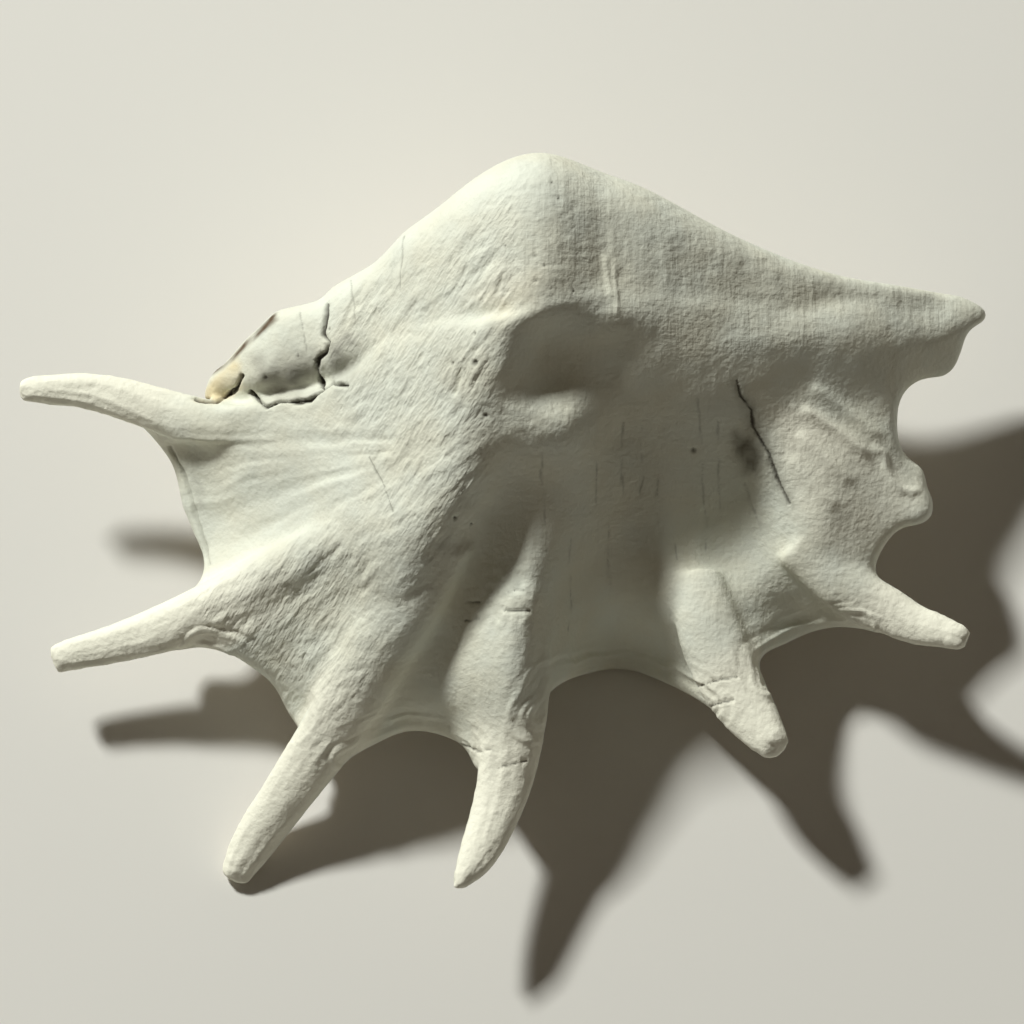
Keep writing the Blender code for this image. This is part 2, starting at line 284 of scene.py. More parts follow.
@dataclass
class Pose:
    """How the shell lies: tipped about X until its belly is on the floor, in the frame's box."""

    tilt: float = 16.0
    belly_flat: float = 2.5
    shift: Array = field(default_factory=lambda: np.zeros(3))

    def tipped(self, points: Array) -> Array:
        """Points or directions of the plan, turned with the shell.

        Args:
            points: Three numbers each.

        Returns:
            The same, tipped about X.
        """
        turn = math.radians(self.tilt)
        x, y, z = points.T
        return np.column_stack([
            x, y * math.cos(turn) - z * math.sin(turn), y * math.sin(turn) + z * math.cos(turn)])

    def settle(self, points: Array) -> None:
        """Finds the shift that brings the shell to its place in the frame.

        Args:
            points: All the shell's points before its relief is raised.
        """
        tipped = self.tipped(points)
        box_low, box_high = [np.array(corner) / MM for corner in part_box("shell")]
        self.shift = (box_low + box_high - tipped.min(axis=0) - tipped.max(axis=0)) / 2
        self.shift[2] = box_low[2] - tipped[:, 2].min() - self.belly_flat

    def placed(self, points: Array) -> Array:
        """Points of the plan at their place in the frame, none of them under the floor.

        Args:
            points: Three numbers each.

        Returns:
            Their places in the frame, in millimetres.
        """
        placed = self.tipped(points) + self.shift
        placed[:, 2] = np.maximum(placed[:, 2], 0.0)
        return placed


@dataclass
class Back:
    """The height of the back of the shell over its plan, a thin plate bent through points."""

    softness: float = 8.0
    heights: Table = field(default_factory=lambda: [
        # crest and knobs of the body whorl
        (-32, 58, 89), (-23, 46, 98), (-14, 68, 103), (-14, 43, 104), (-1, 58, 113), (0, 46, 110),
        (13, 75, 113), (13, 66, 113), (13, 54, 101), (13, 41, 96), (-5, 33, 104), (8, 33, 101),
        (19, 30, 98), (10, 22, 98), (20, 22, 95), (8, 12, 89), (8, 1, 84), (30, 68, 103.5),
        (30, 85, 100.5), (36, 49, 96), (36, 27, 80.5), (36, 6, 72), (36, -8, 65), (-1, 80, 109),
        (-30, 72, 88.5),
        # the great rib towards the lower left spine, sharp on its right side
        (-7, 21, 101), (-8, 12, 98), (-12, 3, 95), (-16, -4, 92), (-20, -11, 89), (-24, -19, 86),
        (-29, -25, 83), (-40, -44, 72), (-51, -62, 62), (-60, -80, 55), (0, 12, 90), (-5, 2, 85),
        (-9, -10, 80), (-15, -22, 76), (-22, -36, 71), (-30, -50, 64),
        # web between the left and lower left spines
        (-48, -25, 71), (-54, -38, 65), (-62, -53, 56), (-66, -61, 48),
        # shoulder slope and the rib towards the left spine
        (-32, 31, 90), (-32, 12, 90), (-48, 31, 77), (-49, 12, 77), (-51, -5, 77), (-69, -18, 64),
        (-88, -26, 57), (-100, -31, 50),
        # web between the two spines at the spire
        (-63, 24, 66), (-63, 6, 63), (-79, 15, 56), (-80, -7, 52), (-97, 12, 42), (-94, -10, 42),
        (-73, 31, 60), (-85, 31, 57), (-100, 32, 50), (-110, 34, 46),
        # broad rib to the lower middle spine, its crest on the right side
        (4, -14, 80), (-6, -26, 76), (-15, -38, 71), (-22, -56, 62), (-23, -66, 50), (9, -13, 82),
        (9, -25, 81), (9, -38, 78), (9, -50, 76), (8, -62, 74), (4, -75, 71), (19, -20, 68),
        (19, -38, 59),
        # web, then the rib to the lower right spine
        (30, -13, 64), (30, -31, 48), (31, -45, 30), (45, -44, 32), (46, -31, 54), (46, -10, 64),
        (58, 6, 63.5), (58, -10, 58), (68, -12, 54), (60, -23, 65), (66, -36, 69), (73, -33, 62),
        (77, -48, 64),
        # web and rib at the spine beside the canal
        (80, -16, 56), (87, -28, 50), (93, -35, 44), (77, 8, 60), (81, -4, 57), (85, 14, 67), (94, 4, 67),
        (96, -7, 66), (107, -20, 63), (118, -28, 58),
        # right flank of the whorl, the notch and the canal
        (61, 75, 86.5), (61, 58, 88.5), (61, 37, 82.5), (61, 21, 71.5), (77, 28, 71.5), (79, 55, 79.5),
        (92, 72, 63), (92, 60, 72), (92, 43, 69), (92, 24, 68), (107, 60, 64), (107, 37, 60),
        (107, 15, 63), (107, -4, 62), (120, 24, 54), (122, 35, 49), (120, -7, 56), (131, 6, 52),
        (127, 17, 49), (123, 55, 52), (123, 68, 46), (137, 57, 42), (135, 45, 36), (141, 54, 36),
        (149, 64, 34), (113, -16, 58), (135, 68, 38),
    ])

    def __post_init__(self) -> None:
        """Solves for the bends that carry the plate through its heights."""
        points = np.array(self.heights, dtype=float)
        self.centres = points[:, :2]
        count = len(points)
        gaps = np.linalg.norm(self.centres[:, None] - self.centres[None], axis=2)
        plane = np.hstack([np.ones((count, 1)), self.centres])
        system = np.zeros((count + 3, count + 3))
        system[:count, :count] = self.bend(gaps) + self.softness * np.eye(count)
        system[:count, count:] = plane
        system[count:, :count] = plane.T
        answer = np.linalg.solve(system, np.append(points[:, 2], np.zeros(3)))
        self.bends = answer[:count]
        self.plane = answer[count:]

    @staticmethod
    def bend(distance: Array) -> Array:
        """The bending of a thin plate at a distance from a point that holds it."""
        return np.where(distance > 0, distance ** 2 * np.log(np.maximum(distance, 1e-9)), 0.0)

    def height(self, xy: Array) -> Array:
        """Heights over the plan.

        Args:
            xy: Places, (x, y) each.

        Returns:
            One height for each place.
        """
        gaps = np.linalg.norm(xy[:, None] - self.centres[None], axis=2)
        return self.bend(gaps) @ self.bends + self.plane[0] + xy @ self.plane[1:]

    def steepness(self, xy: Array, step: float = 0.5) -> Array:
        """How much longer the way through the plate is straight down than square to it.

        Args:
            xy: Places, (x, y) each.
            step: How far apart the heights are read.

        Returns:
            One factor for each place.
        """
        side = np.array([step, 0.0])
        ahead = np.array([0.0, step])
        slope_x = (self.height(xy + side) - self.height(xy - side)) / (2 * step)
        slope_y = (self.height(xy + ahead) - self.height(xy - ahead)) / (2 * step)
        return np.sqrt(1 + slope_x ** 2 + slope_y ** 2)


@dataclass
class BodyWhorl:
    """The coiled body with its stepped spire and long taper, drawn in below the lip."""

    steps: int = 128
    spire_spread: float = 1.0
    whorl_spread: float = 5.0
    section_spread: float = 2.5
    table_step: float = 1.0
    spire_end: Point = (-30.0, -5.0)
    tip_start: Point = (140.0, 120.0)
    seam: float = -120.0
    axis: Table = field(default_factory=lambda: [
        (-95, 37, 41), (-60, 41, 47), (-20, 46, 55), (12, 49, 59.5), (30, 51.3, 55.5),
        (60, 55, 55.5), (92, 58, 52), (124, 61, 38), (150, 64, 24),
    ])
    profile: Table = field(default_factory=lambda: [
        (-93, 0.6), (-91, 6), (-86, 10.5), (-80, 17), (-77, 19), (-71, 24.5), (-62, 25.5),
        (-57, 26), (-53, 30), (-48, 32), (-40, 35.5), (-36, 39), (-31, 44), (-19, 51), (-10, 58),
        (0, 63), (7, 64.8), (13, 64.5), (19, 62), (30, 55.5), (42, 50.5), (53, 43), (69, 32.5),
        (89, 22), (105, 15.5), (124, 11), (136, 7.5), (146, 3), (149, 0.5),
    ])
    section: Table = field(default_factory=lambda: [
        (-120, 0.93), (-90, 0.99), (-60, 1.0), (0, 1.0), (12, 1.02), (20, 1.06), (30, 1.14),
        (38, 1.175), (44, 1.145), (50, 1.07), (56, 1.0), (66, 0.92), (73, 0.87), (80, 0.72),
        (90, 0.58), (110, 0.50), (150, 0.45), (180, 0.50), (210, 0.66), (240, 0.93),
    ])

    def build(self) -> Object:
        """Turns the profile, draws the section in and sets it on the axis of the coil.

        Returns:
            The body, closed at both ends.
        """
        mesh = bpy.data.meshes.new("body")
        crisp = np.array(softened(self.profile, self.table_step, self.spire_spread))
        flowing = np.array(softened(self.profile, self.table_step, self.whorl_spread))
        share = ramp(crisp[:, :1], *self.spire_end) * ramp(crisp[:, :1], *self.tip_start)
        profile = crisp + (flowing - crisp) * share
        rows = [(radius * MM, 0.0, -x * MM) for x, radius in profile]
        rows = [(0.0, 0.0, rows[0][2])] + rows + [(0.0, 0.0, rows[-1][2])]
        mesh.from_pydata(rows, [(i, i + 1) for i in range(len(rows) - 1)], [])
        body = add_object("body", mesh)
        screw = body.modifiers.new("turn", "SCREW")
        screw.steps = self.steps
        screw.render_steps = self.steps
        screw.use_merge_vertices = True
        screw.merge_threshold = 0.0001
        body = baked(body)
        points = read_points(body.data)
        x = -points[:, 2]
        angle = np.degrees(np.arctan2(points[:, 1], points[:, 0]))
        angle = np.where(angle < self.seam, angle + 360, angle)
        section = softened(self.section, self.table_step, self.section_spread)
        drawn_in = along(section, angle)[0]
        radius = np.hypot(points[:, 0], points[:, 1]) * drawn_in
        axis_y, axis_z = along(softened(self.axis, self.table_step, self.whorl_spread), x)
        turned = np.radians(angle)
        across, up = radius * np.cos(turned), radius * np.sin(turned)
        write_points(body.data, np.column_stack([x, axis_y + across, axis_z + up]))
        return body


@dataclass
class Lip:
    """The flared lip: its outline as a plate, bent onto the back and thicker on its underside."""

    back: Back
    tilt: float
    thickness: float = 7.0
    steepest: float = 2.2
    underside: float = 36.0
    extra: float = 15.0
    slit_edge: float = 7.0
    slit: Table = field(default_factory=lambda: [
        (-60, -6), (-40, -8), (12, -7), (60, 20), (88, 37), (106, 45), (150, 52),
    ])
    outline: Table = field(default_factory=lambda: [
        (-49, 44), (-76, 36), (-94, 35), (-110, 37), (-114, 33), (-108, 24), (-103, 17),
        (-100, 6), (-96, -5), (-93, -13), (-94, -19), (-99, -24), (-107, -29), (-105, -40),
        (-94, -40), (-85, -42), (-77, -47), (-72, -51), (-67, -60), (-63, -67), (-64, -74),
        (-60, -79), (-55, -79), (-49, -75), (-40, -70), (-30, -66), (-20, -67), (-12, -71),
        (-8, -78), (6, -80), (10, -72), (10, -61), (15, -53), (27, -48), (38, -47), (50, -51),
        (63, -58), (72, -65), (83, -61), (81, -51), (79, -44), (87, -39), (100, -34), (110, -34),
        (120, -35), (123, -24), (115, -17), (117, -10), (123, -3), (128, -2), (132, 0), (133, 5),
        (131, 10), (130, 15), (124, 20), (122, 32), (124, 39), (129, 43), (138, 45), (142, 52),
        (144, 58), (150, 63), (146, 67), (135, 70), (117, 68), (92, 67), (61, 68), (30, 71),
        (-1, 62), (-32, 58),
    ])

    def build(self) -> Object:
        """Fills the outline, makes an even plate of it and bends that onto the back.

        Returns:
            The lip, with even squares that can bend.
        """
        curve = bpy.data.curves.new("lip", "CURVE")
        curve.dimensions = "2D"
        curve.fill_mode = "BOTH"
        curve.extrude = self.thickness / 2 * MM
        curve.resolution_u = 6
        spline = curve.splines.new("BEZIER")
        spline.bezier_points.add(len(self.outline) - 1)
        for point, (x, y) in zip(spline.bezier_points, self.outline):
            point.co = (x * MM, y * MM, 0.0)
            point.handle_left_type = "AUTO"
            point.handle_right_type = "AUTO"
        spline.use_cyclic_u = True
        lip = baked(add_object("lip", curve))
        add_melt(lip, FORM_VOXEL)
        lip = baked(lip)
        points = read_points(lip.data)
        xy = points[:, :2]
        height = self.back.height(xy)
        steepness = np.minimum(self.back.steepness(xy), self.steepest)
        depth = self.thickness / 2 - points[:, 2]
        underside = self.underside - points[:, 1] * math.tan(math.radians(self.tilt))
        room = height - self.thickness * steepness - underside
        beyond_slit = np.clip((along(self.slit, points[:, 0])[0] - points[:, 1]) / self.slit_edge, 0, 1)
        extra = np.clip(room, 0, self.extra) * beyond_slit
        points[:, 2] = height - depth * (steepness + extra / self.thickness)
        write_points(lip.data, points)
        return lip


@dataclass
class Tube:
    """A tapered tube with round ends, for a finger spine or a groove.

    Its points run from tip to root, (x, y, z, radius); its height may be pressed flatter.
    """

    name: str
    points: Table
    flatness: float = 0.65

    def length(self) -> float:
        """The way from tip to root along the tube's points."""
        return sum(math.dist(start[:3], end[:3]) for start, end in zip(self.points, self.points[1:]))

    def build(self) -> Object:
        """Bends the tube through its points.

        Returns:
            The tube, closed at both ends.
        """
        curve = bpy.data.curves.new(self.name, "CURVE")
        curve.dimensions = "3D"
        curve.bevel_depth = MM
        curve.bevel_resolution = 8
        curve.use_fill_caps = True
        curve.resolution_u = 10
        spline = curve.splines.new("NURBS")
        spline.points.add(len(self.points) - 1)
        for point, (x, y, z, radius) in zip(spline.points, self.points):
            point.co = (x * MM, y * MM, z / self.flatness * MM, 1.0)
            point.radius = radius
        spline.order_u = 3
        spline.use_endpoint_u = True
        tube = baked(add_object(self.name, curve))
        write_points(tube.data, read_points(tube.data) * (1.0, 1.0, self.flatness))
        return tube


SPINES = [
    Tube("spire_side", [
        (-150.5, 40, 46, 3.6), (-145, 40, 46, 4.8), (-138, 40, 46, 5.3), (-127, 39.5, 46.5, 6.0),
        (-116, 36.5, 47, 6.8), (-105, 33, 48, 7.4), (-94, 30, 50, 7.6), (-79, 27, 53, 7),
        (-66, 25, 57, 5),
    ]),
    Tube("left", [
        (-140, -44, 45, 4.8), (-134, -42, 45, 5.4), (-125, -40, 45.5, 6.0), (-116, -37.5, 46.5, 6.8),
        (-105, -34, 48.5, 7.8), (-93, -29, 52, 8.5), (-76, -21, 58, 9), (-54, -8, 68, 8),
        (-32, 6, 81, 6),
    ]),
    Tube("lower_left", [
        (-84, -112, 43, 4.6), (-81, -106, 44, 6.4), (-76, -98, 45.5, 7.4), (-69, -88, 48.5, 8.0),
        (-62, -78, 52, 8.8), (-52, -64, 57.5, 10), (-42, -45, 65, 11), (-29, -25, 75, 11),
        (-18, -4, 83.5, 10),
    ]),
    Tube("lower_middle", [
        (-15, -114.5, 76, 1.8), (-11, -109, 73.5, 5.0), (-7, -102, 70, 6.8), (-3, -92, 66.5, 7.8),
        (0, -83, 64.5, 8.8), (2, -72, 64.5, 9.8), (4, -56, 66, 10.5), (5, -38, 69, 10),
        (6, -19, 74, 8),
    ]),
    Tube("lower_right", [
        (84.5, -71.5, 70, 4.8), (81, -67, 67.5, 6.8), (76, -60, 64.5, 8.8), (71, -53, 62.5, 9.6),
        (66, -42, 62, 10.5), (62, -30, 62, 10), (59, -18, 59, 8),
    ]),
    Tube("canal_side", [
        (143, -37.5, 65, 3.8), (136, -35, 62.5, 5.4), (127, -33, 59.5, 6.5), (120, -29, 58, 7.5),
        (111, -25, 57.5, 8.4), (101, -18, 59, 8.5), (90, -7, 60, 8),
    ]),
]

CANAL_GROOVE = Tube("canal_groove", [
    (70, 30, 34, 11), (90, 42, 30, 11), (108, 50, 22, 10), (124, 53, 12, 9), (140, 55, 3, 8),
    (160, 58, -6, 8),
], flatness=1.0)


@dataclass
class Hollow:
    """The space inside the body whorl: a crescent round the core that opens under the lip."""

    back: Back
    axis: Table
    roof: float = 9.4
    turn_from: float = -60.0
    turn_to: float = 184.0
    core_to: float = 208.0
    wall_corners: int = 40
    core_corners: int = 20
    slit_section: Table = field(default_factory=lambda: [(-1.04, -0.78), (-0.60, -0.88)])
    rows: Table = field(default_factory=lambda: [
        (-38, 16, 8), (-31, 32, 11), (-20, 43, 13), (-8, 51, 15), (12, 57, 16), (34, 46, 14),
        (60, 31, 11), (88, 17, 8), (106, 9, 5),
    ])

    def ring(self, x: float, outer: float, core: float) -> Array:
        """One section of the hollow.

        Args:
            x: Place along the shell.
            outer: Radius inside the wall.
            core: Radius of the core.

        Returns:
            The section's corners.
        """
        arc = np.radians(np.linspace(self.turn_from, self.turn_to, self.wall_corners))
        core_arc = np.radians(np.linspace(self.core_to, self.turn_from, self.core_corners))
        axis_y, axis_z = [float(value) for value in along(self.axis, x)]
        section = [(outer * math.cos(a), outer * math.sin(a)) for a in arc]
        section += [(outer * across, outer * up) for across, up in self.slit_section]
        section += [(core * math.cos(a), core * math.sin(a)) for a in core_arc]
        ring = np.array([(x, axis_y + across, axis_z + up) for across, up in section])
        ring[:, 2] = np.minimum(ring[:, 2], self.back.height(ring[:, :2]) - self.roof)
        return ring

    def build(self) -> Object:
        """Skins the sections one after the other.

        Returns:
            The space, as a closed cutter.
        """
        bm = bmesh.new()
        rings = [self.ring(*row) for row in self.rows]
        loops = [[bm.verts.new(point * MM) for point in ring] for ring in rings]
        for first, second in zip(loops, loops[1:]):
            for i in range(len(first)):
                j = (i + 1) % len(first)
                bm.faces.new((first[i], first[j], second[j], second[i]))
        bm.faces.new(loops[0][::-1])
        bm.faces.new(loops[-1])
        bmesh.ops.recalc_face_normals(bm, faces=bm.faces)
        mesh = bpy.data.meshes.new("hollow")
        bm.to_mesh(mesh)
        bm.free()
        return add_object("hollow", mesh)


def add_melt(obj: Object, size: float) -> None:
    """Melts everything in an object into one even skin.

    Args:
        obj: The object.
        size: Width of the skin's squares, in millimetres.
    """
    melt = obj.modifiers.new("melt", "REMESH")
    melt.mode = "VOXEL"
    melt.voxel_size = size * MM


def add_smooth(obj: Object, repeats: int) -> None:
    """Rounds edges and runs the joints between the forms together.

    Args:
        obj: The object.
        repeats: How often the points move towards their neighbours.
    """
    smooth = obj.modifiers.new("soften", "SMOOTH")
    smooth.factor = 0.5
    smooth.iterations = repeats


def add_cut(obj: Object, cutter: Object) -> None:
    """Takes a cutter's shape out of an object.

    Args:
        obj: The object.
        cutter: The shape.
    """
    cut = obj.modifiers.new(cutter.name, "BOOLEAN")
    cut.operation = "DIFFERENCE"
    cut.solver = "EXACT"
    cut.object = cutter


def keep_largest(mesh: Mesh) -> None:
    """Drops any crumb that the cuts left beside the shell.

    Args:
        mesh: The shell's mesh.
    """
    bm = bmesh.new()
    bm.from_mesh(mesh)
    unseen = set(bm.verts)
    islands = []
    while unseen:
        front = [unseen.pop()]
        island = list(front)
        while front:
            for edge in front.pop().link_edges:
                for other in edge.verts:
                    if other in unseen:
                        unseen.remove(other)
                        island.append(other)
                        front.append(other)
        islands.append(island)
    islands.sort(key=len)
    for island in islands[:-1]:
        bmesh.ops.delete(bm, geom=island, context="VERTS")
    bm.to_mesh(mesh)
    bm.free()


@dataclass
class Blank:
    """The whole form of the shell before its skin is worked."""

    body: BodyWhorl
    lip: Lip
    spines: list[Tube]
    hollow: Hollow
    groove: Tube
    melt_smooth: int = 8
    skin_smooth: int = 4

    def build(self) -> Object:
        """Melts the forms together and cuts the hollow and the canal's groove.

        Returns:
            The closed shell, in its own plan.
        """
        bm = bmesh.new()
        for form in (self.body, self.lip, *self.spines):
            piece = form.build()
            bm.from_mesh(piece.data)
            bpy.data.objects.remove(piece)
        mesh = bpy.data.meshes.new("shell_skin")
        bm.to_mesh(mesh)
        bm.free()
        shell = add_object("shell_skin", mesh)
        cutters = [self.hollow.build(), self.groove.build()]
        add_melt(shell, FORM_VOXEL)
        add_smooth(shell, self.melt_smooth)
        for cutter in cutters:
            add_cut(shell, cutter)
        add_melt(shell, SKIN_VOXEL)
        add_smooth(shell, self.skin_smooth)
        shell = baked(shell)
        for cutter in cutters:
            bpy.data.objects.remove(cutter)
        keep_largest(shell.data)
        return shell

    @staticmethod
    def thinned(shell: Object) -> Object:
        """Drops the triangles that its form and relief can do without.

        Args:
            shell: The worked shell.

        Returns:
            The same shell with SKIN_TRIANGLES triangles at most.
        """
        fewer = shell.modifiers.new("fewer_faces", "DECIMATE")
        fewer.ratio = min(1.0, SKIN_TRIANGLES / (2 * len(shell.data.polygons)))
        return baked(shell)


@dataclass
class Skin:
    """The skin's points while relief and colour are worked into it."""

    points: Array
    normals: Array
    back: Array = field(init=False)
    lift: Array = field(init=False)
    marks: dict[Mark, Array] = field(init=False)

    def __post_init__(self) -> None:
        """Finds the back and starts with flat, unmarked skin."""
        self.back = ramp(self.normals[:, 2], 0.0, 0.25)
        self.lift = np.zeros(len(self.points))
        self.marks = {mark: np.zeros(len(self.points)) for mark in Mark}

    def near(self, places: Table, margin: float) -> Array:
        """Finds the points of the back that a relief can reach.

        Args:
            places: Where the relief is, the first two numbers of each being x and y.
            margin: How far it reaches beyond them.

        Returns:
            The numbers of the points in the box round the places.
        """
        corners = np.array([place[:2] for place in places], dtype=float)
        xy = self.points[:, :2]
        inside = (xy > corners.min(axis=0) - margin) & (xy < corners.max(axis=0) + margin)
        return np.flatnonzero(inside.all(axis=1) & (self.back > 0))

    def raise_by(self, near: Array, amount: Array) -> None:
        """Lifts these points of the back, or with a negative amount sinks them."""
        self.lift[near] += amount * self.back[near]

    def mark(self, near: Array, mark: Mark, amount: Array) -> None:
        """Strengthens a colouring where the amount is above what is there."""
        shown = np.clip(amount, 0.0, 1.0) * self.back[near]
        self.marks[mark][near] = np.maximum(self.marks[mark][near], shown)

    def worked_points(self) -> Array:
        """The points after the relief is raised."""
        return self.points + self.normals * self.lift[:, None]


@dataclass
class Patch:
    """An area of the skin seen from above, with a soft edge."""

    outline: Table
    edge: float = 4.0

    def weight(self, xy: Array) -> Array:
        """How much places belong to the area, from 0 outside to 1 well inside.

        Args:
            xy: Places, (x, y) each.

        Returns:
            One weight for each place.
        """
        inside = np.zeros(len(xy), dtype=bool)
        corners = np.array(self.outline, dtype=float)
        for (ax, ay), (bx, by) in zip(corners, np.roll(corners, -1, axis=0)):
            crosses = (ay > xy[:, 1]) != (by > xy[:, 1])
            slope = (bx - ax) / (by - ay) if by != ay else 0.0
            inside ^= crosses & (xy[:, 0] < ax + (xy[:, 1] - ay) * slope)
        gap, _, _ = nearest_on([*self.outline, self.outline[0]], xy)
        return ramp(np.where(inside, gap, -gap), -self.edge, self.edge)

    def over(self, skin: Skin) -> tuple[Array, Array, Array]:
        """The skin under the area: the numbers of its points, their places and their weights.

        Args:
            skin: The whole skin.

        Returns:
            Three arrays with one row for each point.
        """
        near = skin.near(self.outline, self.edge)
        points = skin.points[near]
        return near, points, self.weight(points[:, :2])


@dataclass
class Furrows:
    """Short irregular furrows that all run much the same way, with thin creases between them."""

    area: Patch
    direction: float
    width: float
    length: float
    depth: float
    seed: int
    crease: float = 0.0
    sway: float = 14.0
    patch: float = 9.0
    rise: float = 40.0

    def work(self, skin: Skin) -> None:
        """Sinks the furrows into the skin, deeper in some patches than in others.

        Args:
            skin: The skin to work.
        """
        near, points, weight = self.area.over(skin)
        turn = math.radians(self.direction)
        run = points[:, 0] * math.cos(turn) + points[:, 1] * math.sin(turn)
        across = points[:, 1] * math.cos(turn) - points[:, 0] * math.sin(turn)
        sway = noise(points / self.sway, self.seed + 5)
        places = np.column_stack([across / self.width + sway, run / self.length, points[:, 2] / self.rise])
        pattern = noise(places, self.seed, 2)
        patchy = np.clip(0.6 + 0.6 * noise(points / self.patch, self.seed + 9), 0.1, 1.2)
        depth = self.depth * pattern - self.crease * (1 - ramp(np.abs(pattern), 0.02, 0.16))
        skin.raise_by(near, depth * patchy * weight)


@dataclass
class Fan:
    """Ridges that spread from one point."""

    area: Patch
    x: float
    y: float
    spacing: float
    length: float
    height: float
    seed: int
    sway: float = 11.0

    def work(self, skin: Skin) -> None:
        """Raises the ridges.

        Args:
            skin: The skin to work.
        """
        near, points, weight = self.area.over(skin)
        x, y = points[:, 0] - self.x, points[:, 1] - self.y
        angle = np.degrees(np.arctan2(-y, -x))
        sway = 0.35 * noise(points / self.sway, self.seed + 4)
        places = np.column_stack([angle / self.spacing + sway, np.hypot(x, y) / self.length, 0 * x])
        skin.raise_by(near, self.height * noise(places, self.seed, 2) * weight)


@dataclass
class GrowthLines:
    """Wrinkles that follow the edge of the lip and die out away from it."""

    edge: Table
    spacing: float
    height: float
    reach: float
    seed: int
    sway: float = 9.0
    length: float = 22.0

    def work(self, skin: Skin) -> None:
        """Raises the wrinkles beside the edge.

        Args:
            skin: The skin to work.
        """
        near = skin.near(self.edge, self.reach)
        points = skin.points[near]
        gap, place, _ = nearest_on(self.edge, points[:, :2])
        sway = 0.7 * noise(points / self.sway, self.seed, 2)
        places = np.column_stack([gap / self.spacing + sway, place / self.length, 0 * gap])
        beside = 1 - ramp(gap, 0.25 * self.reach, self.reach)
        skin.raise_by(near, self.height * noise(places, self.seed + 3, 2) * beside)


@dataclass
class Pit:
    """A small hole in the skin, dark inside."""

    x: float
    y: float
    radius: float
    depth: float

    def work(self, skin: Skin) -> None:
        """Sinks the pit and darkens it.

        Args:
            skin: The skin to work.
        """
        near = skin.near([(self.x, self.y)], self.radius)
        gap = np.hypot(skin.points[near, 0] - self.x, skin.points[near, 1] - self.y)
        bowl = 1 - ramp(gap, 0.2 * self.radius, self.radius)
        skin.raise_by(near, -self.depth * bowl)
        skin.mark(near, Mark.GROOVE, 0.75 * bowl)


@dataclass
class Crack:
    """A crack along a line, open and dark; a broken one wanders and has gaps."""

    line: Table
    width: float
    depth: float
    darkness: float = 1.0
    broken: bool = False
    wander: float = 0.8
    wander_size: float = 7.0
    ragged_size: float = 3.0
    gap_size: float = 5.0

    def work(self, skin: Skin) -> None:
        """Cuts the crack and darkens it.

        Args:
            skin: The skin to work.
        """
        near = skin.near(self.line, self.width + 2.0)
        points = skin.points[near]
        xy = points[:, :2]
        if self.broken:
            places = points / self.wander_size
            xy = xy + self.wander * np.column_stack([noise(places, 44), noise(places, 45)])
        gap, _, _ = nearest_on(self.line, xy)
        sway = 0.5 * self.width * noise(points / self.ragged_size, 41)
        cut = 1 - ramp(np.abs(gap + sway), 0.2 * self.width, self.width)
        if self.broken:
            cut *= ramp(noise(points / self.gap_size, 42), -0.5, 0.3)
            cut *= 0.7 + 0.3 * noise(points / 4.0, 43)
        skin.raise_by(near, -self.depth * cut)
        skin.mark(near, Mark.GROOVE, self.darkness * cut)


@dataclass
class Welt:
    """A raised or, with a negative height, a sunk line that fades at both ends."""

    line: Table
    width: float
    height: float

    def work(self, skin: Skin) -> None:
        """Raises the line.

        Args:
            skin: The skin to work.
        """
        near = skin.near(self.line, 3 * self.width)
        gap, place, _ = nearest_on(self.line, skin.points[near, :2])
        length = float(place.max())
        ends = ramp(place, 0.0, 0.15 * length) * (1 - ramp(place, 0.8 * length, length))
        skin.raise_by(near, self.height * np.exp(-(gap / self.width) ** 2) * ends)


@dataclass
class Swelling:
    """A soft rise, or with a negative height a hollow, longer one way than the other."""

    x: float
    y: float
    half_length: float
    half_width: float
    height: float
    direction: float = 0.0

    def work(self, skin: Skin) -> None:
        """Raises the swelling.

        Args:
            skin: The skin to work.
        """
        turn = math.radians(self.direction)
        near = skin.near([(self.x, self.y)], 3 * max(self.half_length, self.half_width))
        x, y = skin.points[near, 0] - self.x, skin.points[near, 1] - self.y
        run = (x * math.cos(turn) + y * math.sin(turn)) / self.half_length
        across = (y * math.cos(turn) - x * math.sin(turn)) / self.half_width
        skin.raise_by(near, self.height * np.exp(-(run ** 2 + across ** 2)))


@dataclass
class Lumps:
    """Small rounded lumps in an area."""

    area: Patch
    size: float
    height: float
    seed: int

    def work(self, skin: Skin) -> None:
        """Raises the lumps.

        Args:
            skin: The skin to work.
        """
        near, points, weight = self.area.over(skin)
        skin.raise_by(near, self.height * noise(points / self.size, self.seed, 2) * weight)


@dataclass
class StainAndHighlight:
    """An area of one mark, broken up by small specks: a stain, a painted highlight or where a grain shows.
    """

    area: Patch
    mark: Mark
    strength: float
    grain: float
    seed: int

    def work(self, skin: Skin) -> None:
        """Colours the area.

        Args:
            skin: The skin to work.
        """
        near, points, weight = self.area.over(skin)
        cloud = noise(points / self.grain, self.seed, 3)
        skin.mark(near, self.mark, self.strength * (weight * (0.75 + 0.9 * cloud)))


